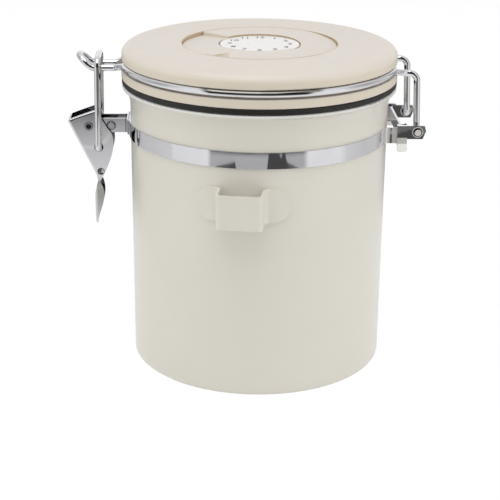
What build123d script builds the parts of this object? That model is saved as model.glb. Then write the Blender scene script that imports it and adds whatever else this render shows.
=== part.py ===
from build123d import *
from math import cos, hypot, radians, sin, sqrt
import os

# A coffee canister: a painted can, a lid held by a bail wire, an over-centre catch,
# a date ring on the lid and a one-way valve under it. Millimetres, Z up.
# The origin is the middle of the standing face. The hinge is at +X, the catch at -X,
# and the scoop bracket is on the -Y side.

# Driving sizes of the can
body_radius = 60.0
rim_top = 132.85

# Can
body_wall = 0.8
bead_radius = 1.0
flare_radius = 15.0
flare_angle = 37.0
foot_radius = 1.4
foot_width = 3.6
base_recess = 1.5
inner_corner = 3.0

# Wire used for the bail and the draw loop
wire_radius = 1.5
wire_bend = 3.6
arm_drop = 1.9
pull_share = 0.9
foot_bend = 1.7

# Clearances, small edge rounds and one overrun for every cut
seat_clearance = 0.03
running_clearance = 0.06
press_clearance = 0.02
lip_gap = 0.1
edge_round = 0.6
soft_edge = 0.2
overrun = 5.0

# Lid across
lid_overhang = 3.6
lid_wall = 1.8
shoulder_width = 6.9
flange_step = 0.2
gasket_step = 0.1
gasket_skirt = 1.4
plug_inset = 4.7
plug_wall = 1.6
wire_inset = 0.5
groove_gap = 0.2
lid_radius = body_radius + lid_overhang
flange_radius = lid_radius + flange_step
gasket_radius = flange_radius - gasket_step
plug_radius = body_radius - plug_inset
wire_circle = lid_radius - wire_inset
groove_radius = wire_circle - wire_radius - groove_gap

# Lid levels, bottom to top
seal_gap = 0.2
gasket_height = 2.65
gasket_drop = 1.2
flange_height = 4.1
plug_drop = 5.0
wire_gap = 0.8
skirt_gap = 0.1
cover_height = 7.3
shoulder_height = 4.4
spigot_rise = 1.4
gasket_bottom = rim_top + seal_gap
flange_bottom = gasket_bottom + gasket_height
flange_top = flange_bottom + flange_height
plug_bottom = flange_bottom - plug_drop
wire_height = flange_top + wire_gap + wire_radius
skirt_bottom = wire_height + wire_radius + skirt_gap
arm_height = wire_height - arm_drop
lid_top = skirt_bottom + cover_height

# Date ring and number disc
ring_radius = 35.6
ring_gap = 0.3
ring_thickness = 3.3
boss_radius = 16.0
boss_gap = 0.08
disc_radius = 18.3
disc_thickness = 0.8
disc_groove = 0.6
disc_sink = 0.6
stud_radius = 5.0
stud_depth = 1.0
scoop_depth = 1.6
scoop_angle = 227.5
pointer_angle = -122.5
pointer_length = 8.5
pointer_width = 8.0
pointer_depth = 0.9
pointer_margin = 0.9
ring_bore = boss_radius + boss_gap
ring_recess = ring_radius + ring_gap
recess_floor = lid_top - ring_thickness - lip_gap / 2
disc_top = lid_top - disc_sink
disc_bottom = disc_top - disc_thickness

# One-way valve
pocket_radius = 11.6
pocket_depth = 5.6
pocket_wall = 2.0
vent_radius = 1.1
vent_circle = 6.0
vent_count = 6
seat_step = 1.3
seat_flange_height = 0.7
seat_height = 1.9
seat_lift = 0.3
seat_rib = 3.2
seal_wall = 2.3
flap_gap = 0.7
flap_overlap = 1.4
flap_thickness = 0.8
flap_stem = 1.2
flap_stem_length = 1.2
seat_flange = pocket_radius - lip_gap
seat_radius = seat_flange - seat_step
seal_inner = pocket_radius - seal_wall
flap_radius = seal_inner - flap_gap
seat_vent_radius = flap_radius - flap_overlap
seat_bottom = plug_bottom + seat_lift
seat_top = seat_bottom + seat_height
pocket_top = plug_bottom + pocket_depth

# Clamp band
band_drop = 24.25
band_width = 7.3
band_thickness = 0.8
band_bottom = rim_top - band_drop
band_inner = body_radius + seat_clearance
band_outer = band_inner + band_thickness

# Hinge side
leg_spread = 15.3
leg_gap = 1.8
leg_lean = 1.1
leg_leave = 22.0
leg_start = 7.2
strip = 1.0
strip_bend = 0.8
hinge_reach = 12.2
hinge_rise = 4.9
web_reach = 4.0
ear_length = 12.1
ear_height = 6.2
ear_drop = 3.2
ear_knee = 3.7
ear_point = 1.5
foot_reach = 3.6
tab_reach = 7.0
clip_reach = 2.6
clip_length = 4.6
clip_thickness = 0.7
clip_lip = 1.2
tongue_length = 3.6
tongue_round = 1.1
tongue_tilt = 35.0
hinge_x = body_radius + hinge_reach
hinge_z = band_bottom + hinge_rise
web_x = body_radius + web_reach
tab_end = body_radius + tab_reach
clip_start = body_radius + clip_reach
ear_inner = leg_spread + wire_radius + leg_gap
tab_inner = ear_inner + strip + seat_clearance
tab_outer = tab_inner + band_thickness

# Latch lever
pivot_reach = 19.3
pivot_rise = 4.2
lever_half = 6.2
lever_sheet = 1.2
lever_fold = 1.0
lever_back = 9.85
lever_width = 21.85
lever_height = 56.9
lever_hole_radius = 1.5
web_wall = 1.4
handle_half = 5.0
neck_length = 5.0
pivot_share = 0.866
handle_share = 0.408
handle_round_share = 0.9
pivot_x = -body_radius - pivot_reach
pivot_z = band_bottom + pivot_rise
lever_left = pivot_x - lever_back
lever_tip = pivot_z - pivot_share * lever_height
handle_top = lever_tip + handle_share * lever_height

# Side view of the lever, as shares of its width and height from its outer lower corner
web_shares = ((0.538, 0.035), (0.538, 0.28), (0.564, 0.325), (0.625, 0.385), (0.597, 0.435), (0.0, 0.915))
top_shares = ((0.32, 0.962), (0.611, 1.0))
belly_shares = ((0.96, 0.76), (0.945, 0.66), (0.808, 0.505), (0.653, 0.385))
leaf_shares = ((0.723, 0.31), (0.718, 0.22), (0.625, 0.10), (0.578, 0.0))
lever_hole_shares = (0.683, 0.482)

# Rivets and the bracket that carries the lever
rivet_radius = 1.5
rivet_bore = 1.1
rivet_flange = 2.1
rivet_flange_height = 0.4
stop_reach = 9.0
stop_radius = 1.2
stop_head = 1.8
stop_head_height = 0.6
stop_head_round = 0.3
stop_gap = 0.15
cheek_gap = 0.4
mount_sheet = 1.2
mount_ear_height = 6.6
saddle_half = 8.5
saddle_thickness = 0.9
mount_ear_round = mount_ear_height / 2
mount_ear_outer = lever_half - lever_sheet - cheek_gap
mount_ear_inner = mount_ear_outer - mount_sheet
stop_x = -body_radius - stop_reach
# Direction from the stop rivet to the lever's edge
stop_shares = (0.8, 0.6)

# Draw wire
draw_shift = 4.4
draw_drop = 10.1
draw_side_gap = 1.6
draw_foot_end = 1.2
draw_bend = 3.2
draw_reach = 14.2
draw_gap = 1.3
draw_x = pivot_x + draw_shift
draw_z = pivot_z - draw_drop
draw_spread = lever_half + draw_side_gap + wire_radius
draw_foot = lever_half - lever_sheet - draw_foot_end
draw_top_x = -body_radius - draw_reach

# Loop of the bail at the catch
loop_gap = 1.0
loop_reach = 15.4
loop_start = 7.5
loop_leave = 13.0
loop_curl_radius = 5.0
loop_curl_angle = 45.0
loop_half = draw_spread - 2 * wire_radius - loop_gap
loop_curl_x = -body_radius - loop_reach

# Scoop bracket
scoop_turn = -9.1
scoop_span = 42.4
scoop_drop = 24.45
scoop_height = 15.4
scoop_sheet = 1.0
scoop_reach = 12.0
scoop_width = 20.6
scoop_outer_round = 2.6
scoop_root_round = 3.4
scoop_bottom = band_bottom - scoop_drop


def turned(*points):
    """A closed profile of radius and height, turned about the upright axis."""
    return revolve(Plane.XZ * Polygon(*points, align=None), Axis.Z)


def disc(radius, bottom, top):
    """An upright cylinder from one height to another."""
    return Pos(0, 0, bottom) * Cylinder(radius, top - bottom, align=(Align.CENTER, Align.CENTER, Align.MIN))


def pin(radius, y_start, y_end, x, z):
    """A cylinder that lies along Y."""
    middle = (y_start + y_end) / 2
    return Pos(x, middle, z) * Rot(90, 0, 0) * Cylinder(radius, y_end - y_start)


def slab(x_start, x_end, y_start, y_end, z_start, z_end):
    """A block given by its six faces."""
    middle = Pos((x_start + x_end) / 2, (y_start + y_end) / 2, (z_start + z_end) / 2)
    return middle * Box(x_end - x_start, y_end - y_start, z_end - z_start)


def panel(x_start, x_end, y_start, y_end):
    """A flat rectangle given by its four sides."""
    middle = Pos((x_start + x_end) / 2, (y_start + y_end) / 2)
    return middle * Rectangle(x_end - x_start, y_end - y_start)


def side_prism(face, half_width):
    """A side view drawn in X and Z, given a width along Y."""
    return extrude(Plane.XZ * face, half_width, both=True)


def wire_along(path, radius):
    """Round wire swept along a path."""
    start = Plane(origin=path @ 0, z_dir=path % 0)
    return sweep(start * Circle(radius), path=path)


def canister_body():
    """Drawn can with a recessed base, a flared neck and a rolled rim."""
    sweep_angle = radians(flare_angle)
    bead_height = rim_top - bead_radius
    flare_start = bead_height - flare_radius * sin(sweep_angle)
    centre = (body_radius + flare_radius, flare_start)
    bead_centre = body_radius + flare_radius * (1 - cos(sweep_angle)) - body_wall / 2
    inside = body_radius - body_wall
    floor = base_recess + body_wall
    foot_outer = body_radius - foot_radius
    foot_inner = foot_outer - foot_width
    base = Polyline((0, base_recess), (foot_inner - base_recess, base_recess), (foot_inner, 0), (foot_outer, 0))
    heel = CenterArc((foot_outer, foot_radius), foot_radius, -90, 90)
    outer_wall = Line((body_radius, foot_radius), (body_radius, flare_start))
    flare_out = CenterArc(centre, flare_radius, 180, -flare_angle)
    flare_in = CenterArc(centre, flare_radius + body_wall, 180 - flare_angle, flare_angle)
    lip = Line(flare_out @ 1, flare_in @ 0)
    inner_wall = Line((inside, flare_start), (inside, floor + inner_corner))
    corner = CenterArc((inside - inner_corner, floor + inner_corner), inner_corner, 0, -90)
    floor_line = Polyline((inside - inner_corner, floor), (0, floor), (0, base_recess))
    parts = [base, heel, outer_wall, flare_out, lip, flare_in, inner_wall, corner, floor_line]
    edges = [edge for part in parts for edge in part.edges()]
    shell = revolve(Plane.XZ * make_face(edges), Axis.Z)
    return shell + Pos(0, 0, bead_height) * Torus(bead_centre, bead_radius)


def clamp_band():
    """Strap round the can whose two ends turn out along the hinge ears."""
    strap = Circle(band_outer) - panel(0, 2 * body_radius, -tab_inner, tab_inner)
    for side in (-1, 1):
        near = min(side * tab_inner, side * tab_outer)
        strap += panel(body_radius / 2, tab_end, near, near + band_thickness)
    bend = sqrt(band_outer ** 2 - tab_outer ** 2)
    corners = [v for v in strap.vertices() if hypot(v.X - bend, abs(v.Y) - tab_outer) < band_thickness / 2]
    strap = fillet(corners, 2 * band_thickness)
    strap -= Circle(band_inner)
    return Pos(0, 0, band_bottom) * extrude(strap, band_width)


def hinge_bracket():
    """Bent strip with a web behind the can's clamp and two ears with holes."""
    ear_end = web_x + ear_length
    bottom = hinge_z - ear_drop
    outline = panel(web_x, ear_end + overrun, -ear_inner - strip, ear_inner + strip)
    hollow = panel(web_x + strip, ear_end + 2 * overrun, -ear_inner, ear_inner)
    outline = fillet(outline.vertices().sort_by(Axis.X)[:2], strip_bend + strip)
    hollow = fillet(hollow.vertices().sort_by(Axis.X)[:2], strip_bend)
    bent = Pos(0, 0, bottom) * extrude(outline - hollow, ear_height)
    ear = Polygon((web_x, bottom), (ear_end - ear_point, bottom), (ear_end, bottom + ear_knee),
                  (ear_end - ear_point / 2, bottom + ear_height), (web_x, bottom + ear_height), align=None)
    bent &= side_prism(ear, ear_inner + overrun)
    reach = ear_inner + overrun
    return bent - pin(wire_radius + running_clearance, -reach, reach, hinge_x, hinge_z)


def keeper_clip(side):
    """Sheet clip pressed round one band end and the ear beside it, with a lifted tongue."""
    low = band_bottom - seat_clearance
    high = hinge_z - ear_drop + ear_height + seat_clearance
    inner = tab_outer + seat_clearance
    outer = inner + clip_thickness
    mouth = ear_inner - seat_clearance
    end = clip_start + clip_length
    lip_start = web_x + 2 * strip
    clip = slab(clip_start, end, mouth, outer, low - clip_thickness, high + clip_thickness)
    clip -= slab(clip_start - overrun, end + overrun, mouth - overrun, inner, low, high)
    clip = fillet(clip.edges().filter_by(Axis.X).group_by(Axis.Y)[-1], clip_thickness)
    for bottom in (low - clip_thickness, high - clip_lip):
        top = bottom + clip_lip + clip_thickness
        clip += slab(lip_start, end, mouth - clip_thickness, mouth, bottom, top)
    tongue = Rectangle(clip_length, tongue_length, align=(Align.MIN, Align.MAX))
    tongue = fillet(tongue.vertices().sort_by(Axis.Y)[:2], tongue_round)
    tongue = extrude(Plane.XZ * tongue, clip_thickness)
    clip += Pos(clip_start, outer, low) * Rot(tongue_tilt, 0, 0) * tongue
    return clip if side > 0 else mirror(clip, Plane.XZ)


def catch_bracket():
    """Saddle against the band with two ears for the lever."""
    inner = band_outer + seat_clearance
    ring = Circle(inner + saddle_thickness) - Circle(inner)
    plan = ring & panel(-2 * body_radius, 0, -saddle_half, saddle_half)
    for side in (-1, 1):
        low = min(side * mount_ear_inner, side * mount_ear_outer)
        ear = panel(pivot_x - mount_ear_round, -body_radius, low, low + mount_ear_outer - mount_ear_inner)
        plan += ear - Circle(inner)
    bottom = pivot_z - mount_ear_height / 2
    bracket = Pos(0, 0, bottom) * extrude(plan, mount_ear_height)
    end = side_prism(Pos(pivot_x, pivot_z) * Circle(mount_ear_round), 2 * saddle_half)
    stem = slab(pivot_x, 0, -2 * saddle_half, 2 * saddle_half, bottom - overrun, bottom + mount_ear_height + overrun)
    bracket &= end + stem
    bracket -= pin(rivet_radius + press_clearance, -saddle_half, saddle_half, pivot_x, pivot_z)
    return bracket - pin(stop_radius + press_clearance, -saddle_half, saddle_half, stop_x, pivot_z)


def stop_rivet():
    """Rivet through the ears that the closed lever stops against."""
    face = mount_ear_outer + press_clearance
    rivet = pin(stop_radius, -face, face, stop_x, pivot_z)
    for side in (-1, 1):
        far = side * (face + stop_head_height)
        head = pin(stop_head, min(side * face, far), max(side * face, far), stop_x, pivot_z)
        rim = head.edges().group_by(Axis.Y)[0 if side < 0 else -1]
        rivet += fillet(rim, stop_head_round)
    return rivet


def lever_rivet():
    """Tubular rivet on which the lever turns, flared over both cheeks."""
    face = lever_half + running_clearance
    end = face + rivet_flange_height
    tube = pin(rivet_radius, -end, end, pivot_x, pivot_z)
    for side in (-1, 1):
        flange = pin(rivet_flange, min(side * face, side * end), max(side * face, side * end), pivot_x, pivot_z)
        rim = flange.edges().group_by(Axis.Y)[0 if side < 0 else -1]
        tube += fillet(rim, soft_edge)
    return tube - pin(rivet_bore, -end - overrun, end + overrun, pivot_x, pivot_z)


def lever_point(shares):
    """A point of the side view from its two shares."""
    return (lever_left + shares[0] * lever_width, lever_tip + shares[1] * lever_height)


def lever_side():
    """Side view of the cheeks and the handle below them."""
    web = [lever_point(p) for p in web_shares]
    top = [lever_point(p) for p in top_shares]
    reach = stop_head + stop_gap
    stop = (stop_x - reach * stop_shares[0], pivot_z - reach * stop_shares[1])
    belly = [stop] + [lever_point(p) for p in belly_shares]
    leaf = [belly[-1]] + [lever_point(p) for p in leaf_shares]
    outer = Polyline(*web)
    crown = ThreePointArc(web[-1], top[0], top[1])
    shoulder = Line(top[1], stop)
    lines = [outer, crown, shoulder, Spline(*belly), Spline(*leaf), Line(leaf[-1], web[0])]
    face = make_face([edge for line in lines for edge in line.edges()])
    return fillet([v for v in face.vertices() if v.X < web[-1][0] + lever_sheet], lever_sheet)


def lever_hollow():
    """Side view of the space between the cheeks, open towards the can."""
    web = [lever_point(p) for p in web_shares]
    wall = [(x + web_wall, z) for x, z in web]
    far = lever_left + 2 * lever_width
    rise = lever_tip + lever_height + overrun
    return Polygon(*wall, (wall[-1][0], rise), (far, rise), (far, wall[0][1]), align=None)


def lever_front(half, handle, bottom):
    """View from the handle side, narrower below the cheeks and round at the tip."""
    top = lever_tip + lever_height + overrun
    neck = handle_top - neck_length
    half_view = Polygon((-handle, bottom), (handle, bottom), (handle, neck), (half, handle_top),
                        (half, top), (-half, top), (-half, handle_top), (-handle, neck), align=None)
    return fillet(half_view.vertices().sort_by(Axis.Y)[:2], handle_round_share * handle)


def latch_lever():
    """Sheet lever folded to a channel: two cheeks, a web and a dished handle."""
    outer = side_prism(lever_side(), 2 * lever_half)
    front = lever_front(lever_half, handle_half, lever_tip)
    outer &= extrude(Plane.YZ * front, 2 * lever_left, both=True)
    cheeks = outer.edges().filter_by(lambda e: abs(abs(e.center().Y) - lever_half) < soft_edge)
    folds = [e for e in cheeks if e.center().X < lever_point(top_shares[0])[0] and e.center().Z > handle_top]
    outer = fillet(folds, lever_fold)
    inner_half = lever_half - lever_sheet
    inner_front = lever_front(inner_half, handle_half - lever_sheet, lever_tip + lever_sheet)
    inner = side_prism(lever_hollow(), 2 * lever_half) & extrude(Plane.YZ * inner_front, 2 * lever_left, both=True)
    lever = outer - inner
    hole_x, hole_z = lever_point(lever_hole_shares)
    lever -= pin(rivet_radius + running_clearance, -2 * lever_half, 2 * lever_half, pivot_x, pivot_z)
    lever -= pin(wire_radius + running_clearance, -2 * lever_half, 2 * lever_half, draw_x, draw_z)
    return lever - pin(lever_hole_radius, -2 * lever_half, 2 * lever_half, hole_x, hole_z)


def draw_wire():
    """Wire yoke from the lever's cheeks up and over the loop of the bail."""
    top_z = arm_height + 2 * wire_radius + draw_gap
    reach = hypot(draw_top_x - draw_x, top_z - draw_z)
    knee = draw_spread - foot_bend
    crown = draw_spread - draw_bend
    lower = Polyline((-draw_foot, 0), (-knee, 0))
    lines = [
        lower,
        CenterArc((-knee, foot_bend), foot_bend, -90, -90),
        Line((-draw_spread, foot_bend), (-draw_spread, reach - draw_bend)),
        CenterArc((-crown, reach - draw_bend), draw_bend, 180, -90),
        Line((-crown, reach), (crown, reach)),
        CenterArc((crown, reach - draw_bend), draw_bend, 90, -90),
        Line((draw_spread, reach - draw_bend), (draw_spread, foot_bend)),
        CenterArc((knee, foot_bend), foot_bend, 0, -90),
        Line((knee, 0), (draw_foot, 0)),
    ]
    lean = Vector(draw_top_x - draw_x, 0, top_z - draw_z)
    plane = Plane(origin=(draw_x, 0, draw_z), x_dir=(0, 1, 0), z_dir=Vector(0, 1, 0).cross(lean))
    path = Wire([edge for line in lines for edge in (plane * line).edges()])
    return wire_along(path, wire_radius)


def groove_leave(spread, side):
    """Point where the bail leaves the groove on its front half, and its direction there."""
    along = side * sqrt(wire_circle ** 2 - spread ** 2)
    return Vector(along, -spread, wire_height), Vector(-spread, -along, 0)


def bail_wire():
    """One wire: hinge feet, leaning legs, a ring in the lid's groove and the catch loop."""
    leg_top = hinge_x - leg_lean
    feet_y = leg_spread + foot_reach + foot_bend
    knee = leg_spread + foot_bend
    rise = Vector(-leg_lean, 0, arm_height - hinge_z).normalized()
    post = Plane(origin=(hinge_x, 0, hinge_z), x_dir=(0, -1, 0), z_dir=(-rise.Z, 0, rise.X))
    foot = post * Line((feet_y, 0), (knee, 0))
    ankle = post * CenterArc((knee, foot_bend), foot_bend, -90, -90)
    leg_low = ankle @ 1
    arch = Plane(origin=(0, -leg_spread, 0), x_dir=(1, 0, 0), z_dir=(0, -1, 0))
    leg = arch * FilletPolyline((leg_low.X, leg_low.Z), (leg_top, arm_height),
                                (body_radius + leg_start, arm_height), radius=wire_bend)
    leave, leave_way = groove_leave(leg_leave, 1)
    join, join_way = groove_leave(loop_leave, -1)
    inward = Vector(-1, 0, 0)
    pulls = (pull_share, pull_share)
    down = Spline(leg @ 1, leave, tangents=(inward, leave_way), tangent_scalars=pulls)
    ring = ThreePointArc(leave, (0, -wire_circle, wire_height), join)
    arm_start = Vector(-body_radius - loop_start, -loop_half, arm_height)
    up = Spline(join, arm_start, tangents=(join_way, inward), tangent_scalars=pulls)
    arm = Line(arm_start, (loop_curl_x, -loop_half, arm_height))
    curl = Plane(origin=(0, -loop_half, 0), x_dir=(-1, 0, 0), z_dir=(0, 1, 0))
    curl_arc = curl * CenterArc((-loop_curl_x, arm_height + loop_curl_radius), loop_curl_radius, -90, loop_curl_angle)
    slope = Vector(-cos(radians(loop_curl_angle)), 0, sin(radians(loop_curl_angle)))
    curl_end = curl_arc @ 1
    tip = Vector(curl_end.X, 0, curl_end.Z) + slope * loop_half
    far_end = Vector(curl_end.X, loop_half, curl_end.Z)
    front = [edge for line in (foot, ankle, leg, down, ring, up, arm, curl_arc) for edge in line.edges()]
    bow = ThreePointArc(curl_end, tip, far_end)
    path = Wire(front + bow.edges() + [mirror(edge, Plane.XZ).edge() for edge in front])
    return wire_along(path, wire_radius)


def lid_cover():
    """Top shell with a soft shoulder and a round recess for the date ring."""
    centre = (lid_radius - shoulder_width, lid_top - shoulder_height)
    lip_top = skirt_bottom + lid_wall
    lip_inner = lid_radius - shoulder_width + lid_wall
    inside = lid_radius - lid_wall
    outer = EllipticalCenterArc(centre, shoulder_width, shoulder_height, start_angle=0, arc_size=90)
    inner = EllipticalCenterArc(centre, shoulder_width - lid_wall, shoulder_height - lid_wall,
                                start_angle=0, arc_size=90)
    step = ring_recess + lid_wall
    top = Polyline(outer @ 1, (ring_recess, lid_top), (ring_recess, recess_floor), (boss_radius, recess_floor),
                   (boss_radius, disc_bottom), (0, disc_bottom), (0, recess_floor - lid_wall),
                   (step, recess_floor - lid_wall), (step, lid_top - lid_wall), inner @ 1)
    rim = Polyline(inner @ 0, (inside, lip_top), (lip_inner, lip_top), (lip_inner, skirt_bottom),
                   (lid_radius - edge_round, skirt_bottom))
    heel = CenterArc((lid_radius - edge_round, skirt_bottom + edge_round), edge_round, -90, 90)
    side = Line((lid_radius, skirt_bottom + edge_round), outer @ 0)
    edges = [edge for line in (outer, top, inner, rim, heel, side) for edge in line.edges()]
    cover = revolve(Plane.XZ * make_face(edges), Axis.Z)
    cover -= disc(stud_radius + seat_clearance, disc_bottom - stud_depth - lip_gap, disc_bottom + overrun)
    holes = PolarLocations((ring_bore + ring_radius) / 2, vent_count)
    return cover - [Pos(0, 0, recess_floor) * spot * Cylinder(vent_radius, 2 * overrun) for spot in holes]


def lid_base():
    """Lower lid moulding: wire groove, flange, plug and the valve pocket."""
    spigot = lid_radius - shoulder_width + lid_wall - seat_clearance
    housing = pocket_radius + pocket_wall
    inner = plug_radius - plug_wall
    floor = plug_bottom + plug_wall
    body = turned(
        (pocket_radius, plug_bottom), (plug_radius, plug_bottom), (plug_radius, flange_bottom),
        (flange_radius, flange_bottom), (flange_radius, flange_top), (groove_radius, flange_top),
        (groove_radius, skirt_bottom - seat_clearance), (spigot, skirt_bottom - seat_clearance),
        (spigot, skirt_bottom + spigot_rise), (spigot - lid_wall, skirt_bottom + spigot_rise),
        (spigot - lid_wall, flange_bottom + plug_wall), (inner, flange_bottom + plug_wall),
        (inner, floor), (housing, floor), (housing, pocket_top + pocket_wall),
        (0, pocket_top + pocket_wall), (0, pocket_top), (pocket_radius, pocket_top))
    rims = [edge for edge in body.edges().filter_by(GeomType.CIRCLE)
            if abs(edge.radius - flange_radius) < edge_round / 2 or
            (abs(edge.radius - plug_radius) < edge_round / 2 and edge.center().Z < flange_bottom - edge_round)]
    body = fillet(rims, edge_round)
    holes = PolarLocations(vent_circle, vent_count)
    return body - [Pos(0, 0, pocket_top) * spot * Cylinder(vent_radius, 2 * overrun) for spot in holes]


def lid_gasket():
    """Silicone seal under the flange with a short skirt round the plug."""
    inner = plug_radius + seat_clearance
    top = flange_bottom - seat_clearance
    seal = turned((inner, gasket_bottom - gasket_drop), (inner + gasket_skirt, gasket_bottom - gasket_drop),
                  (inner + gasket_skirt, gasket_bottom), (gasket_radius, gasket_bottom),
                  (gasket_radius, top), (inner, top))
    rims = [edge for edge in seal.edges().filter_by(GeomType.CIRCLE)
            if abs(edge.radius - gasket_radius) < edge_round / 2]
    return fillet(rims, edge_round)


def date_ring():
    """Ring that turns in the lid, with two ramped finger scoops and a pointer."""
    bottom = recess_floor + lip_gap / 2
    lip_top = disc_bottom - lip_gap
    opening = disc_radius + disc_groove
    ring = turned((ring_bore, bottom), (ring_radius, bottom), (ring_radius, lid_top),
                  (opening, lid_top), (opening, lip_top), (ring_bore, lip_top))
    reach = ring_radius + overrun
    fall = scoop_depth / ring_radius
    ramp = Polygon((0, 0), (reach, -fall * reach), (reach, overrun), (0, overrun), align=None)
    for start in (scoop_angle, scoop_angle - 180):
        across = Vector(sin(radians(start)), -cos(radians(start)), 0)
        along = Vector(cos(radians(start)), sin(radians(start)), 0)
        frame = Plane(origin=(0, 0, lid_top), x_dir=across, z_dir=-along)
        ring -= extrude(frame * ramp, -reach)
    tail = ring_radius - pointer_margin
    plan = Polygon((tail - pointer_length, 0), (tail, -pointer_width / 2), (tail, pointer_width / 2), align=None)
    slope = Polygon((tail - pointer_length, 0), (tail, -pointer_depth), (tail, overrun),
                    (tail - pointer_length, overrun), align=None)
    notch = Pos(0, 0, -overrun) * extrude(plan, 2 * overrun) & extrude(Plane.XZ * slope, pointer_width, both=True)
    return ring - Rot(0, 0, pointer_angle) * (Pos(0, 0, lid_top) * notch)


def number_disc():
    """Round plate over the ring's inner lip, held by a stud."""
    plate = disc(disc_radius, disc_bottom, disc_top)
    plate = fillet(plate.edges().group_by(Axis.Z)[-1], soft_edge)
    return plate + disc(stud_radius, disc_bottom - stud_depth, disc_bottom + disc_thickness / 2)


def valve_seat():
    """Round seat with two vents either side of a rib and a hole for the flap's stem."""
    seat = disc(seat_radius, seat_bottom, seat_top) + disc(seat_flange, seat_bottom, seat_bottom + seat_flange_height)
    rib = slab(-seat_radius, seat_radius, -seat_rib / 2, seat_rib / 2, plug_bottom - overrun, seat_top + overrun)
    vents = disc(seat_vent_radius, plug_bottom - overrun, seat_top + overrun) - rib
    return seat - vents - disc(flap_stem + running_clearance, plug_bottom - overrun, seat_top + overrun)


def valve_seal():
    """Upright silicone rim between the seat and the pocket's ceiling."""
    bottom = seat_top + seat_clearance
    outer = pocket_radius - 2 * seat_clearance
    return disc(outer, bottom, pocket_top - seat_clearance) - disc(seal_inner, bottom - overrun, pocket_top + overrun)


def valve_flap():
    """Silicone disc that lifts to let gas out, guided by its stem."""
    bottom = seat_top + seat_clearance
    plate = disc(flap_radius, bottom, bottom + flap_thickness)
    plate = fillet(plate.edges().group_by(Axis.Z)[-1], soft_edge)
    return plate + disc(flap_stem, bottom - flap_stem_length, bottom + flap_thickness / 2)


def scoop_bracket():
    """Hat-shaped strap on the can's front with rounded flanges."""
    seat = body_radius + seat_clearance
    crown = body_radius + scoop_reach
    half = scoop_width / 2

    def hat(radius, half_width, front, crown_round, root_round):
        shape = Circle(radius) + panel(-half_width, half_width, -front, 0)
        crowns = shape.vertices().filter_by_position(Axis.Y, -front - scoop_sheet / 2, -front + scoop_sheet / 2)
        shape = fillet(crowns, crown_round)
        root = sqrt(radius ** 2 - half_width ** 2)
        roots = [v for v in shape.vertices() if abs(v.Y + root) < scoop_sheet / 2 and v.Y < 0]
        return fillet(roots, root_round)

    outer = hat(seat + scoop_sheet, half, crown, scoop_outer_round, scoop_root_round - scoop_sheet)
    inner = hat(seat, half - scoop_sheet, crown - scoop_sheet, scoop_outer_round - scoop_sheet, scoop_root_round)
    strap = outer - inner
    window = Pos(0, scoop_bottom + scoop_height / 2) * SlotOverall(scoop_span, scoop_height)
    strap = Pos(0, 0, scoop_bottom - overrun) * extrude(strap, scoop_height + 2 * overrun)
    strap &= extrude(Plane.XZ * window, crown + overrun)
    return Rot(0, 0, scoop_turn) * strap


nodes = {
    "canister_body": canister_body(),
    "scoop_bracket": scoop_bracket(),
    "clamp_band": clamp_band(),
    "hinge_bracket": hinge_bracket(),
    "keeper_clip_front": keeper_clip(-1),
    "keeper_clip_rear": keeper_clip(1),
    "catch_bracket": catch_bracket(),
    "stop_rivet": stop_rivet(),
    "lever_rivet": lever_rivet(),
    "latch_lever": latch_lever(),
    "draw_wire": draw_wire(),
    "bail_wire": bail_wire(),
    "lid_cover": lid_cover(),
    "lid_base": lid_base(),
    "lid_gasket": lid_gasket(),
    "date_ring": date_ring(),
    "number_disc": number_disc(),
    "valve_seat": valve_seat(),
    "valve_seal": valve_seal(),
    "valve_flap": valve_flap(),
}

os.makedirs("parts", exist_ok=True)
for name, shape in nodes.items():
    export_step(shape, f"parts/{name}.step")
    print(name, round(shape.volume), "mm3")
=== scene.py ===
import bpy
import math
from mathutils import Matrix, Vector


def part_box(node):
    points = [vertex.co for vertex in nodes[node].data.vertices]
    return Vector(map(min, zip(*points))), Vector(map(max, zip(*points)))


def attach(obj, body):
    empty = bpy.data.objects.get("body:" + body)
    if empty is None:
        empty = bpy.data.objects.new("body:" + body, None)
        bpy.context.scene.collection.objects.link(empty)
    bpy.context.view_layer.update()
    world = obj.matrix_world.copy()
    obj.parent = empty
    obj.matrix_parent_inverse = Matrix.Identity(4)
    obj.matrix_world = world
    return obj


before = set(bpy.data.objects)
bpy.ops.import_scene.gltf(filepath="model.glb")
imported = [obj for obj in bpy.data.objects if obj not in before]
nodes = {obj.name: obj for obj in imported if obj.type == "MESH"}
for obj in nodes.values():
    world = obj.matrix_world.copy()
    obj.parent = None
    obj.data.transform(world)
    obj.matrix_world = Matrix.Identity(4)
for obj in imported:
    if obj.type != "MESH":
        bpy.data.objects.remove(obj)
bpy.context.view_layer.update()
print("frame loaded:", len(nodes), "nodes")

mm = 0.001
white = (1.0, 1.0, 1.0, 1.0)
# the middle part of a noise's values, which is spread over a range of roughness
noiseRange = (0.3, 0.7)


# small helpers for node trees

def place(tree, kind, settings=None, **links):
    # one node: plain settings first, then its sockets from values or other sockets
    node = tree.nodes.new(kind)
    for key, value in (settings or {}).items():
        setattr(node, key, value)
    for key, value in links.items():
        numbered = key[0] == "i" and key[1:].isdigit()
        socket = node.inputs[int(key[1:]) if numbered else key.replace("_", " ")]
        if isinstance(value, bpy.types.NodeSocket):
            tree.links.new(value, socket)
        else:
            socket.default_value = value
    return node


def makeMaterial(name, surfaceOf):
    material = bpy.data.materials.new(name)
    material.use_nodes = True
    tree = material.node_tree
    tree.nodes.clear()
    end = place(tree, "ShaderNodeOutputMaterial")
    tree.links.new(surfaceOf(tree), end.inputs[0])
    return material


def calc(tree, operation, first, second=0.0):
    return place(tree, "ShaderNodeMath", {"operation": operation}, i0=first, i1=second).outputs[0]


def product(tree, first, *others):
    for other in others:
        first = calc(tree, "MULTIPLY", first, other)
    return first


def largest(tree, first, *others):
    for other in others:
        first = calc(tree, "MAXIMUM", first, other)
    return first


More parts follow.
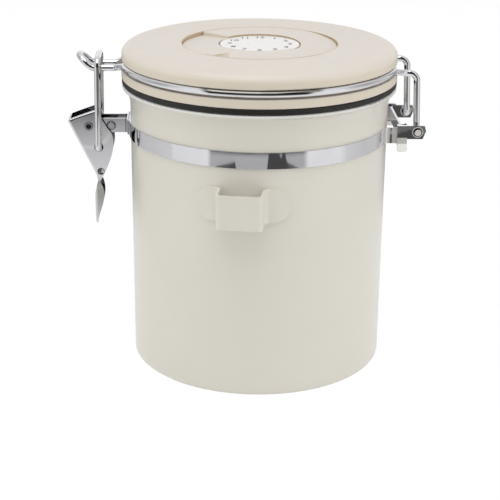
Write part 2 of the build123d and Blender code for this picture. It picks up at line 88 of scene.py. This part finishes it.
def above(tree, value, limit):
    return calc(tree, "GREATER_THAN", value, limit)


def below(tree, value, limit):
    return calc(tree, "LESS_THAN", value, limit)


def gapBetween(tree, first, second):
    return calc(tree, "ABSOLUTE", calc(tree, "SUBTRACT", first, second))


def distanceFrom(tree, first, second, centre=(0.0, 0.0)):
    # distance in two axes from a centre
    across = calc(tree, "SUBTRACT", first, centre[0])
    up = calc(tree, "SUBTRACT", second, centre[1])
    squares = calc(tree, "ADD", product(tree, across, across), product(tree, up, up))
    return calc(tree, "SQRT", squares)


def remap(tree, value, low, high, newLow, newHigh, soft=False):
    shape = "SMOOTHSTEP" if soft else "LINEAR"
    settings = {"clamp": True, "interpolation_type": shape}
    node = place(tree, "ShaderNodeMapRange", settings,
                 i0=value, i1=low, i2=high, i3=newLow, i4=newHigh)
    return node.outputs[0]


def blendColour(tree, share, first, second):
    node = place(tree, "ShaderNodeMix", {"data_type": "RGBA"}, i0=share, i6=first, i7=second)
    return node.outputs[2]


def blendShader(tree, share, first, second):
    return place(tree, "ShaderNodeMixShader", None, i0=share, i1=first, i2=second).outputs[0]


def speckle(tree, coordinates, scale, detail=3.0, roughness=0.5):
    node = place(tree, "ShaderNodeTexNoise", None, Vector=coordinates, Scale=scale,
                 Detail=detail, Roughness=roughness)
    return node.outputs[0]


def bumpFrom(tree, height, depth, **under):
    node = place(tree, "ShaderNodeBump", None, Height=height, Distance=depth, Strength=1.0, **under)
    return node.outputs[0]


def principled(tree, **links):
    return place(tree, "ShaderNodeBsdfPrincipled", None, **links).outputs[0]


def coordinate(tree, kind):
    return place(tree, "ShaderNodeTexCoord").outputs[kind]


def split(tree, vector):
    return place(tree, "ShaderNodeSeparateXYZ", None, Vector=vector).outputs


def linear(red, green, blue):
    # screen colour of 0 to 255 to a shader colour
    def channel(value):
        value = value / 255
        return value / 12.92 if value <= 0.04045 else ((value + 0.055) / 1.055) ** 2.4
    return (channel(red), channel(green), channel(blue), 1.0)


# painted steel can

can = {
    "paint": linear(226, 223, 215),
    "paintShade": linear(223, 220, 212),
    "paintRoughness": (0.30, 0.38),
    "cloudSize": 45.0,
    "glossSize": 160.0,
    "coat": 0.25,
    "coatRoughness": 0.12,
    "peelSize": 700.0,
    "peelDepth": 0.00002,
    # painted highlight: a bluish white line on the paint just under the rolled rim, where it starts
    # and its share
    "rimHighlightFrom": (131.7 * mm, 132.1 * mm),
    "rimHighlightShare": 0.55,
    "rimHighlight": linear(226, 229, 237),
    "steel": linear(208, 207, 205),
    "steelDark": linear(190, 189, 187),
    "steelRoughness": (0.36, 0.50),
    "steelMetal": 0.75,
    "brushLines": 2600.0,
    "brushTurns": 3.0,
    "brushDetail": (4.0, 0.6),
    "brushDepth": 0.00001,
    "bareRimAbove": 133.0 * mm,
    "wallMiddle": 59.6 * mm,
    "insideBelow": -0.01,
    "floorLevel": 0.5,
}


def paintSurface(tree):
    spot = coordinate(tree, "Object")
    height = split(tree, spot)[2]
    clouds = speckle(tree, spot, can["cloudSize"], 2.0)
    colour = blendColour(tree, clouds, can["paintShade"], can["paint"])
    # painted highlight just under the rolled rim
    rim = remap(tree, height, *can["rimHighlightFrom"], 0.0, can["rimHighlightShare"], True)
    colour = blendColour(tree, rim, colour, can["rimHighlight"])
    peel = speckle(tree, spot, can["peelSize"], 2.0)
    gloss = speckle(tree, spot, can["glossSize"])
    return principled(tree, Base_Color=colour,
                      Roughness=remap(tree, gloss, *noiseRange, *can["paintRoughness"]),
                      Normal=bumpFrom(tree, peel, can["peelDepth"]),
                      Coat_Weight=can["coat"], Coat_Roughness=can["coatRoughness"])


def steelSurface(tree, parts, radius):
    # fine lines run round the can
    angle = calc(tree, "ARCTAN2", parts[1], parts[0])
    along = product(tree, calc(tree, "ADD", radius, parts[2]), can["brushLines"])
    around = product(tree, angle, can["brushTurns"])
    lines = place(tree, "ShaderNodeCombineXYZ", None, X=along, Y=around).outputs[0]
    brush = speckle(tree, lines, 1.0, *can["brushDetail"])
    return principled(tree, Base_Color=blendColour(tree, brush, can["steelDark"], can["steel"]),
                      Metallic=can["steelMetal"],
                      Roughness=remap(tree, brush, *noiseRange, *can["steelRoughness"]),
                      Normal=bumpFrom(tree, brush, can["brushDepth"]))


def bodySurface(tree):
    # paint outside, brushed bare steel inside and on the rolled rim
    parts = split(tree, coordinate(tree, "Object"))
    facing = split(tree, coordinate(tree, "Normal"))
    radius = distanceFrom(tree, parts[0], parts[1])
    outward = calc(tree, "ADD", product(tree, facing[0], parts[0]),
                   product(tree, facing[1], parts[1]))
    inside = below(tree, outward, can["insideBelow"])
    floor = product(tree, above(tree, facing[2], can["floorLevel"]),
                    below(tree, radius, can["wallMiddle"]))
    rim = above(tree, parts[2], can["bareRimAbove"])
    bare = largest(tree, inside, floor, rim)
    return blendShader(tree, bare, paintSurface(tree), steelSurface(tree, parts, radius))


# plated metal in general, polished or ground, where the lighter ground metal is a painted highlight

plating = {
    "colour": linear(224, 224, 227),
    "shade": linear(210, 210, 214),
    "cloudSize": 120.0,
    "wireRoughness": (0.03, 0.06),
    "stripRoughness": (0.02, 0.05),
    "sheetRoughness": (0.07, 0.13),
    "lineSize": (60.0, 60.0, 900.0),
    "lineDetail": 4.0,
    "lineDepth": 0.000001,
    "formDepth": 0.00003,
    # colour and added roughness of painted shade
    "paintedShadeColour": linear(72, 68, 66),
    "paintedShadeRoughness": 0.4,
    # lighter ground satin metal, which serves as a painted highlight
    "groundHighlight": linear(222, 220, 217),
    "groundHighlightMetal": 0.35,
    "groundHighlightRoughness": 0.42,
}


def platedSurface(tree, roughness, paintedShade=None, form=None, paintedLight=None):
    # paintedShade darkens and roughens the plating as painted shade, form is its pressed height,
    # paintedLight is a share and a colour of painted shade or reflection
    spot = coordinate(tree, "Object")
    stretched = place(tree, "ShaderNodeMapping", None, Vector=spot, Scale=plating["lineSize"])
    lines = speckle(tree, stretched.outputs[0], 1.0, plating["lineDetail"])
    clouds = speckle(tree, spot, plating["cloudSize"])
    colour = blendColour(tree, clouds, plating["shade"], plating["colour"])
    rough = remap(tree, clouds, *noiseRange, *roughness)
    normal = bumpFrom(tree, lines, plating["lineDepth"])
    # painted shade or reflection laid over the plating's colour
    if paintedLight is not None:
        colour = blendColour(tree, paintedLight[0], colour, paintedLight[1])
    if paintedShade is not None:
        colour = blendColour(tree, paintedShade, colour, plating["paintedShadeColour"])
        rough = calc(tree, "ADD", rough, product(tree, paintedShade, plating["paintedShadeRoughness"]))
    if form is not None:
        normal = bumpFrom(tree, form, plating["formDepth"], Normal=normal)
    return principled(tree, Base_Color=colour, Metallic=1.0, Roughness=rough, Normal=normal)


def groundSurface(tree):
    return principled(tree, Base_Color=plating["groundHighlight"], Metallic=plating["groundHighlightMetal"],
                      Roughness=plating["groundHighlightRoughness"])


# wires and the hinge: heights and places seen from the side are (x, z)

wire = {
    "foot": (72.2 * mm, 113.5 * mm),
    "footEnd": 1.55 * mm,
    "cutLevel": 0.9,
    # painted shade and reflection of the lid's skirt on the top of the ring under the lid's
    # shoulder, in the middle of the front
    "ringRadius": (61.4 * mm, 65.0 * mm),
    "ringHeight": (142.5 * mm, 142.85 * mm),
    "ringMiddle": -1.5 * mm,
    "ringSpan": (23.5 * mm, 27.5 * mm),
    "ringPaintedShade": linear(116, 113, 105),
    "ringShadeShare": 0.9,
}
hinge = {
    "holePaintedShade": (1.9 * mm, 2.1 * mm),
    "holeRimHighlight": (2.15 * mm, 2.3 * mm),
    "holeRimHighlightOut": (2.45 * mm, 2.65 * mm),
    "clipFold": (111.6 * mm, 111.1 * mm),
    "clipHighlightShare": 0.85,
    "bandEnd": (56.6 * mm, 57.4 * mm),
    "bandHighlightShare": 0.75,
    "bandBend": 59.8 * mm,
    "bendWidth": (0.35 * mm, 0.7 * mm),
    "bendShare": 0.1,
}


def wireSurface(tree):
    # the cut ends of the bail's feet are ground and lighter, a painted highlight, and the top of
    # the ring gets painted shade and reflection of the lid's skirt
    parts = split(tree, coordinate(tree, "Object"))
    facing = split(tree, coordinate(tree, "Normal"))
    level = above(tree, calc(tree, "ABSOLUTE", facing[1]), wire["cutLevel"])
    away = distanceFrom(tree, parts[0], parts[2], wire["foot"])
    cut = product(tree, level, below(tree, away, wire["footEnd"]))
    radius = distanceFrom(tree, parts[0], parts[1])
    inner, outer = wire["ringRadius"]
    aside = gapBetween(tree, parts[0], wire["ringMiddle"])
    ring = product(tree, above(tree, radius, inner), below(tree, radius, outer),
                   remap(tree, parts[2], *wire["ringHeight"], 0.0, wire["ringShadeShare"], True),
                   remap(tree, aside, *wire["ringSpan"], 1.0, 0.0, True),
                   below(tree, parts[1], 0.0))
    polished = platedSurface(tree, plating["wireRoughness"], paintedLight=(ring, wire["ringPaintedShade"]))
    return blendShader(tree, cut, polished, groundSurface(tree))


def earSurface(tree):
    # a dark gap of painted shade and a lighter ground rim as a painted highlight, round the foot of
    # the bail
    parts = split(tree, coordinate(tree, "Object"))
    away = distanceFrom(tree, parts[0], parts[2], wire["foot"])
    dark = remap(tree, away, *hinge["holePaintedShade"], 1.0, 0.0, True)
    rim = product(tree, remap(tree, away, *hinge["holeRimHighlight"], 0.0, 1.0, True),
                  remap(tree, away, *hinge["holeRimHighlightOut"], 1.0, 0.0, True))
    polished = platedSurface(tree, plating["stripRoughness"], dark)
    return blendShader(tree, rim, polished, groundSurface(tree))


def bandSurface(tree):
    # the turned ends of the band are ground and lighter, a painted highlight, with a polished bend
    # between
    across = split(tree, coordinate(tree, "Object"))[0]
    turned = remap(tree, across, *hinge["bandEnd"], 0.0, hinge["bandHighlightShare"], True)
    beside = gapBetween(tree, across, hinge["bandBend"])
    flat = remap(tree, beside, *hinge["bendWidth"], hinge["bendShare"], 1.0, True)
    polished = platedSurface(tree, plating["stripRoughness"])
    return blendShader(tree, product(tree, turned, flat), polished, groundSurface(tree))


def clipSurface(tree):
    # the lower end of the keeper clips, with its turned lip, is ground and lighter, a painted
    # highlight
    height = split(tree, coordinate(tree, "Object"))[2]
    low = remap(tree, height, *hinge["clipFold"], 0.0, hinge["clipHighlightShare"], True)
    polished = platedSurface(tree, plating["stripRoughness"])
    return blendShader(tree, low, polished, groundSurface(tree))


# the catch: lever, rivets and bracket, with places seen from the side as (x, z)

catch = {
    "pivot": (-79.3 * mm, 112.8 * mm),
    "boreRadius": 1.25 * mm,
    "headReach": 3.0 * mm,
    # painted shade on a rivet's head: from and to this radius, with these shares
    "flangeShade": (1.3 * mm, 2.1 * mm, 0.30, 0.75),
    "stop": (-69.0 * mm, 112.8 * mm),
    "stopShade": (1.0 * mm, 1.8 * mm, 0.15, 0.55),
    "bracketShade": (1.95 * mm, 2.4 * mm, 0.9, 0.0),
    # folds of the bracket next to the can, darkened by painted shade, each with its share
    "folds": ((-62.2 * mm, 0.75), (-60.9 * mm, 0.55)),
    "foldWidth": (0.12 * mm, 0.32 * mm),
    "wireHole": (-74.9 * mm, 102.7 * mm),
    "wireHoleShade": (2.0 * mm, 2.25 * mm),
    "lowHole": (-74.2 * mm, 90.9 * mm),
    "lowHoleShade": (1.6 * mm, 1.8 * mm),
    "formedStep": (9.1 * mm, 11.6 * mm),
    # painted reflection that darkens the handle: its colour, where it reaches, and its shares
    "leafPaintedReflection": linear(150, 151, 145),
    "leafSide": (-77.3 * mm, -75.8 * mm),
    "leafTop": (88.0 * mm, 85.5 * mm),
    "leafTip": (78.0 * mm, 66.0 * mm),
    "leafReflectionShare": (0.9, 0.45),
}


def rivetSurface(tree):
    # painted shade: the bore of the tubular rivet is darkened, and both heads darken towards their
    # edge
    parts = split(tree, coordinate(tree, "Object"))
    away = distanceFrom(tree, parts[0], parts[2], catch["pivot"])
    bore = below(tree, away, catch["boreRadius"])
    flange = product(tree, below(tree, away, catch["headReach"]),
                     remap(tree, away, *catch["flangeShade"]))
    other = distanceFrom(tree, parts[0], parts[2], catch["stop"])
    head = product(tree, below(tree, other, catch["headReach"]),
                   remap(tree, other, *catch["stopShade"]))
    return platedSurface(tree, plating["sheetRoughness"], largest(tree, bore, flange, head))


def leverSurface(tree):
    # painted shade round both holes, the step formed in the cheeks round the pivot, and a painted
    # reflection that darkens the handle
    parts = split(tree, coordinate(tree, "Object"))
    hole = distanceFrom(tree, parts[0], parts[2], catch["wireHole"])
    low = distanceFrom(tree, parts[0], parts[2], catch["lowHole"])
    shade = largest(tree, remap(tree, hole, *catch["wireHoleShade"], 1.0, 0.0, True),
                    remap(tree, low, *catch["lowHoleShade"], 1.0, 0.0, True))
    reach = distanceFrom(tree, parts[0], parts[2], catch["pivot"])
    step = remap(tree, reach, *catch["formedStep"], 1.0, 0.0, True)
    leafReflection = product(tree, remap(tree, parts[0], *catch["leafSide"], 0.0, 1.0, True),
                   remap(tree, parts[2], *catch["leafTop"], 0.0, 1.0, True),
                   remap(tree, parts[2], *catch["leafTip"], *catch["leafReflectionShare"]))
    return platedSurface(tree, plating["sheetRoughness"], shade, step,
                         paintedLight=(leafReflection, catch["leafPaintedReflection"]))


def bracketSurface(tree):
    # painted shade under the head of the stop rivet and in the folds next to the can
    parts = split(tree, coordinate(tree, "Object"))
    away = distanceFrom(tree, parts[0], parts[2], catch["stop"])
    shade = remap(tree, away, *catch["bracketShade"], True)
    for fold, share in catch["folds"]:
        beside = gapBetween(tree, parts[0], fold)
        line = remap(tree, beside, *catch["foldWidth"], share, 0.0, True)
        shade = largest(tree, shade, line)
    return platedSurface(tree, plating["sheetRoughness"], shade)


# plastics, silicone and ink

plastics = {
    "lidPlastic": {
        "light": linear(223, 216, 209), "dark": linear(219, 212, 204), "roughness": (0.38, 0.5),
        "grain": 1500.0, "depth": 0.000012, "translucent": 0.0,
    },
    "discPlastic": {
        "light": linear(238, 236, 236), "dark": linear(235, 233, 233), "roughness": (0.2, 0.3),
        "grain": 900.0, "depth": 0.000001, "translucent": 0.0,
    },
    "valvePlastic": {
        "light": linear(240, 240, 239), "dark": linear(235, 235, 234), "roughness": (0.35, 0.45),
        "grain": 900.0, "depth": 0.000008, "translucent": 0.2,
    },
    "silicone": {
        "light": linear(26, 24, 22), "dark": linear(18, 16, 15), "roughness": (0.45, 0.62),
        "grain": 1800.0, "depth": 0.00002, "translucent": 0.0,
    },
    "greyInk": {
        "light": linear(84, 84, 92), "dark": linear(74, 74, 82), "roughness": (0.4, 0.5),
        "grain": 900.0, "depth": 0.000004, "translucent": 0.0,
    },
}
plasticGrain = {
    "cloudSize": 60.0,
    "glossSize": 220.0,
    "lightReach": 2.0 * mm,
}
lidShade = {
    "above": 147.3 * mm,
    # painted shade in the gaps round the ring and the disc
    "circles": (18.7 * mm, 35.75 * mm),
    "halfWidth": (0.40 * mm, 0.55 * mm),
    "recessShade": linear(196, 172, 138),
    "share": 0.8,
    # painted shade, warmer and darker, on upright faces
    "side": linear(222, 213, 198),
    "sideShadeLevel": (0.1, 0.8),
    # painted shade in the sunken pointer in the date ring
    "pointer": (-16.3 * mm, -25.6 * mm),
    "pointerReach": 6.0 * mm,
    "pointerDepth": (0.05 * mm, 0.5 * mm),
    "pointerShare": 0.55,
}


def grooveShare(tree, parts):
    # painted shade: the gaps round the ring and the disc are warmer and darker
    radius = distanceFrom(tree, parts[0], parts[1])
    lines = []
    for circle in lidShade["circles"]:
        beside = gapBetween(tree, radius, circle)
        lines.append(remap(tree, beside, *lidShade["halfWidth"], lidShade["share"], 0.0, True))
    return product(tree, largest(tree, *lines), above(tree, parts[2], lidShade["above"]))


def pointerShare(tree, parts):
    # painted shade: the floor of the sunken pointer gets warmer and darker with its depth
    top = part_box("date_ring")[1].z
    shallow, deep = lidShade["pointerDepth"]
    away = distanceFrom(tree, parts[0], parts[1], lidShade["pointer"])
    sunk = remap(tree, parts[2], top - deep, top - shallow, lidShade["pointerShare"], 0.0)
    return product(tree, below(tree, away, lidShade["pointerReach"]),
                   above(tree, parts[2], lidShade["above"]), sunk)


def tintLid(tree, spot, colour):
    parts = split(tree, spot)
    level = calc(tree, "ABSOLUTE", split(tree, coordinate(tree, "Normal"))[2])
    # painted shade on upright faces
    uprightShade = remap(tree, level, *lidShade["sideShadeLevel"], 1.0, 0.0)
    colour = blendColour(tree, uprightShade, colour, lidShade["side"])
    colour = blendColour(tree, grooveShare(tree, parts), colour, lidShade["recessShade"])
    return blendColour(tree, pointerShare(tree, parts), colour, lidShade["recessShade"])


def plasticSurface(tree, name):
    values = plastics[name]
    spot = coordinate(tree, "Object")
    clouds = speckle(tree, spot, plasticGrain["cloudSize"])
    colour = blendColour(tree, clouds, values["dark"], values["light"])
    if name == "lidPlastic":
        colour = tintLid(tree, spot, colour)
    grain = speckle(tree, spot, values["grain"], 2.0)
    gloss = speckle(tree, spot, plasticGrain["glossSize"])
    return principled(tree, Base_Color=colour,
                      Roughness=remap(tree, gloss, *noiseRange, *values["roughness"]),
                      Normal=bumpFrom(tree, grain, values["depth"]),
                      Subsurface_Weight=values["translucent"],
                      Subsurface_Scale=plasticGrain["lightReach"])


# finishes on the pieces

surfaces = {
    "canPaint": paintSurface,
    "canBody": bodySurface,
    "wireChrome": wireSurface,
    "earPlate": earSurface,
    "clipPlate": clipSurface,
    "bandPlate": bandSurface,
    "rivetPlate": rivetSurface,
    "leverPlate": leverSurface,
    "bracketPlate": bracketSurface,
}
dressing = {
    "canBody": ("canister_body",),
    "canPaint": ("scoop_bracket",),
    "wireChrome": ("bail_wire", "draw_wire"),
    "bandPlate": ("clamp_band",),
    "earPlate": ("hinge_bracket",),
    "clipPlate": ("keeper_clip_front", "keeper_clip_rear"),
    "bracketPlate": ("catch_bracket",),
    "rivetPlate": ("lever_rivet", "stop_rivet"),
    "leverPlate": ("latch_lever",),
    "lidPlastic": ("lid_cover", "lid_base", "date_ring"),
    "silicone": ("lid_gasket", "valve_seal", "valve_flap"),
    "discPlastic": ("number_disc",),
    "valvePlastic": ("valve_seat",),
}

finish = {}
for name in plastics:
    finish[name] = makeMaterial(name, lambda tree: plasticSurface(tree, name))
for name, surfaceOf in surfaces.items():
    finish[name] = makeMaterial(name, surfaceOf)
for name, group in dressing.items():
    for node in group:
        nodes[node].data.materials.clear()
        nodes[node].data.materials.append(finish[name])
print("finishes on", sum(len(group) for group in dressing.values()), "nodes")


# printed numbers round the disc

numbers = {
    "count": 12,
    "circle": 13.9 * mm,
    "height": 3.3 * mm,
    "heightOfSize": 0.7,
    "weight": 0.05 * mm,
    "film": 0.03 * mm,
    "turn": -2.5,
}


def numberMesh(hour):
    curve = bpy.data.curves.new(f"number{hour}", "FONT")
    curve.body = str(hour)
    curve.size = numbers["height"] / numbers["heightOfSize"]
    curve.align_x = "CENTER"
    curve.align_y = "CENTER"
    curve.offset = numbers["weight"]
    curve.extrude = numbers["film"] / 2
    words = bpy.data.objects.new(f"number{hour}", curve)
    bpy.context.scene.collection.objects.link(words)
    bpy.context.view_layer.update()
    depsgraph = bpy.context.evaluated_depsgraph_get()
    mesh = bpy.data.meshes.new_from_object(words.evaluated_get(depsgraph))
    bpy.data.objects.remove(words)
    return mesh


def makeNumbers():
    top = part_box("number_disc")[1].z
    turn = Matrix.Rotation(math.radians(numbers["turn"]), 4, "Z")
    for hour in range(1, numbers["count"] + 1):
        angle = math.radians(90 - hour * 360 / numbers["count"])
        spot = Vector((numbers["circle"] * math.cos(angle), numbers["circle"] * math.sin(angle),
                       top + numbers["film"] / 2))
        mesh = numberMesh(hour)
        mesh.transform(Matrix.Translation(spot))
        mesh.transform(turn)
        mesh.materials.clear()
        mesh.materials.append(finish["greyInk"])
        piece = bpy.data.objects.new(f"dialNumber{hour}", mesh)
        bpy.context.scene.collection.objects.link(piece)
        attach(piece, "lid")


makeNumbers()
print("numbers on the disc:", numbers["count"])


# floor, background and lamps

studio = {
    "floorSize": 3.0,
    "floorWhite": (0.86, 0.86, 0.86, 1.0),
    "floorGlow": 1.035,
    "floorShadow": 0.08,
    # what polished metal sees of the table in front: brightness by distance from the can
    "tableStops": ((0.00, 1.0), (0.22, 0.94), (0.34, 0.78), (0.38, 0.66), (0.42, 0.50),
                   (0.444, 0.54), (0.448, 0.13), (1.00, 0.06)),
    # where that front reaches: the places are shares of a full turn, the front is at a half
    "frontNearStops": ((0.378, 0.0), (0.386, 1.0), (0.525, 1.0), (0.532, 0.0)),
    "frontFarStops": ((0.378, 0.0), (0.386, 1.0), (0.595, 1.0), (0.606, 0.0)),
    # the table beside and behind the can, which is white next to it
    "sideNear": (0.20, 0.30),
    "sideStops": ((0.00, 0.12), (0.115, 0.12), (0.14, 0.62), (0.18, 0.68), (0.24, 0.75),
                  (0.28, 0.80), (0.29, 0.95), (0.38, 1.0), (0.61, 1.0), (0.69, 1.0),
                  (0.71, 0.80), (0.78, 0.71), (0.84, 0.72), (0.865, 0.60), (0.885, 0.12),
                  (1.00, 0.12)),
    # dark strip on the table: its beginning, greatest width, level, and share of the width
    "stripFrom": 0.406,
    "stripWidth": 0.05,
    "stripLevel": 0.03,
    "stripStops": ((0.396, 0.0), (0.398, 0.12), (0.4417, 0.42), (0.4432, 0.0), (0.5135, 0.0),
                   (0.5150, 0.90), (0.5375, 0.90), (0.5417, 0.66), (0.5464, 0.60),
                   (0.5470, 0.95), (0.5540, 0.95), (0.5550, 0.42), (0.583, 0.10),
                   (0.586, 0.0)),
    # what polished metal sees of the room
    "roomStops": ((0.00, 1.0), (0.09, 1.0), (0.12, 0.35), (0.15, 0.85), (0.24, 0.45),
                  (0.295, 0.80), (0.314, 1.0), (0.365, 1.0), (0.372, 0.02), (0.50, 0.04),
                  (0.610, 0.02), (0.620, 1.0), (0.69, 1.0), (0.705, 0.80), (0.76, 0.45),
                  (0.85, 0.85), (0.88, 0.35), (0.91, 1.0), (1.00, 1.0)),
    "ceilingFrom": (0.55, 0.70),
    "ceiling": 0.90,
    "ceilingStops": ((0.49, 1.0), (0.505, 0.03), (0.60, 0.03), (0.63, 1.0)),
    "zenithFrom": (0.95, 0.985),
    # light that the room throws on matte surfaces, from behind to the front
    "fillBack": (0.50, 0.50, 0.50, 1.0),
    "fillFront": (0.515, 0.50, 0.45, 1.0),
    "fillTurn": (-0.5, 0.8),
    "lamps": {
        # place, size, power, and whether polished metal sees the lamp
        "topSoft": ((-0.10, -0.35, 1.00), 0.80, 3.9, True),
        "leftSoft": ((-0.95, -0.25, 0.45), 0.80, 2.1, False),
        "rightSoft": ((0.95, -0.35, 0.45), 0.80, 3.0, False),
    },
    "target": (0.0, 0.0, 0.09),
}


def brightnessRamp(tree, value, stops):
    ramp = place(tree, "ShaderNodeValToRGB", None, i0=value)
    points = ramp.color_ramp.elements
    while len(points) < len(stops):
        points.new(0.5)
    for point, (position, level) in zip(points, stops):
        point.position = position
        point.color = (level, level, level, 1.0)
    return ramp.outputs[0]


def turnShare(tree, across, front):
    # direction round the can as a share of a full turn
    turn = calc(tree, "ARCTAN2", across, front)
    return remap(tree, turn, -math.pi, math.pi, 0.0, 1.0)


def seenPlainly(tree, path):
    return largest(tree, path["Is Camera Ray"], path["Is Transmission Ray"])


def tableBrightness(tree):
    parts = split(tree, coordinate(tree, "Object"))
    away = distanceFrom(tree, parts[0], parts[1])
    share = turnShare(tree, parts[0], product(tree, parts[1], -1.0))
    ramps = {name: brightnessRamp(tree, share, studio[name])
             for name in ("stripStops", "sideStops", "frontNearStops", "frontFarStops")}
    near = remap(tree, away, *studio["sideNear"], 1.0, 0.0)
    side = blendColour(tree, near, ramps["sideStops"], white)
    front = blendColour(tree, above(tree, away, studio["stripFrom"]),
                        ramps["frontNearStops"], ramps["frontFarStops"])
    table = blendColour(tree, front, side, brightnessRamp(tree, away, studio["tableStops"]))
    past = calc(tree, "SUBTRACT", away, studio["stripFrom"])
    width = product(tree, ramps["stripStops"], studio["stripWidth"])
    strip = product(tree, above(tree, past, 0.0), below(tree, past, width))
    return product(tree, table, remap(tree, strip, 0.0, 1.0, 1.0, studio["stripLevel"]))


def floorSurface(tree):
    # white to the camera, a drawn table to polished metal, matte to everything else
    path = place(tree, "ShaderNodeLightPath").outputs
    plain = seenPlainly(tree, path)
    level = remap(tree, plain, 0.0, 1.0, tableBrightness(tree), studio["floorGlow"])
    glow = place(tree, "ShaderNodeEmission", None, Color=white, Strength=level).outputs[0]
    matte = place(tree, "ShaderNodeBsdfDiffuse", None, Color=studio["floorWhite"]).outputs[0]
    glowing = product(tree, largest(tree, plain, path["Is Glossy Ray"]),
                      1.0 - studio["floorShadow"])
    return blendShader(tree, glowing, matte, glow)


def makeFloor():
    bpy.ops.mesh.primitive_plane_add(size=studio["floorSize"])
    floor = bpy.context.object
    floor.name = "floor"
    floor.data.materials.append(makeMaterial("floorWhite", floorSurface))


def makeWorld():
    world = bpy.data.worlds.new("studio")
    world.use_nodes = True
    tree = world.node_tree
    tree.nodes.clear()
    end = place(tree, "ShaderNodeOutputWorld")
    path = place(tree, "ShaderNodeLightPath").outputs
    parts = split(tree, coordinate(tree, "Generated"))
    front = product(tree, parts[1], -1.0)
    share = turnShare(tree, parts[0], front)
    ceiling = product(tree, brightnessRamp(tree, share, studio["ceilingStops"]),
                      studio["ceiling"])
    zenith = remap(tree, parts[2], *studio["zenithFrom"], 0.0, studio["ceiling"], True)
    high = remap(tree, parts[2], *studio["ceilingFrom"], 0.0, 1.0, True)
    mirror = blendColour(tree, high, brightnessRamp(tree, share, studio["roomStops"]),
                         largest(tree, ceiling, zenith))
    fill = blendColour(tree, remap(tree, front, *studio["fillTurn"], 0.0, 1.0),
                       studio["fillBack"], studio["fillFront"])
    colour = blendColour(tree, path["Is Glossy Ray"], fill, mirror)
    colour = blendColour(tree, seenPlainly(tree, path), colour, white)
    back = place(tree, "ShaderNodeBackground", None, Color=colour, Strength=1.0)
    tree.links.new(back.outputs[0], end.inputs[0])
    bpy.context.scene.world = world


def makeLamps():
    target = Vector(studio["target"])
    for name, (spot, size, power, mirrored) in studio["lamps"].items():
        lamp = bpy.data.lights.new(name, "AREA")
        lamp.shape = "SQUARE"
        lamp.size = size
        lamp.energy = power
        holder = bpy.data.objects.new(name, lamp)
        holder.location = spot
        holder.rotation_euler = (target - Vector(spot)).to_track_quat("-Z", "Y").to_euler()
        holder.visible_glossy = mirrored
        bpy.context.scene.collection.objects.link(holder)


makeFloor()
makeWorld()
makeLamps()
print("studio ready")


# camera: from its side the hinge stands 2.5 degrees towards the back

view = {
    "place": (-27.5 * mm, -612.7 * mm, 279.7 * mm),
    "lookDown": 20.64,
    "lookLeft": -2.24,
    "roll": 0.58,
    "lens": 96.76,
    "sensor": 36.0,
}


def makeCamera():
    data = bpy.data.cameras.new("camera")
    data.lens = view["lens"]
    data.sensor_width = view["sensor"]
    data.sensor_fit = "HORIZONTAL"
    camera = bpy.data.objects.new("camera", data)
    bpy.context.scene.collection.objects.link(camera)
    turn = Matrix.Rotation(math.radians(view["lookLeft"]), 4, "Z")
    tilt = Matrix.Rotation(math.radians(90 - view["lookDown"]), 4, "X")
    roll = Matrix.Rotation(math.radians(view["roll"]), 4, "Z")
    camera.matrix_world = Matrix.Translation(view["place"]) @ turn @ tilt @ roll
    bpy.context.scene.camera = camera


makeCamera()
bpy.context.scene.view_settings.view_transform = "Standard"
print("camera placed")


# a helper that rounds the values of a box's corners

def plain(box):
    return [[round(float(value), 6) for value in corner] for corner in box]
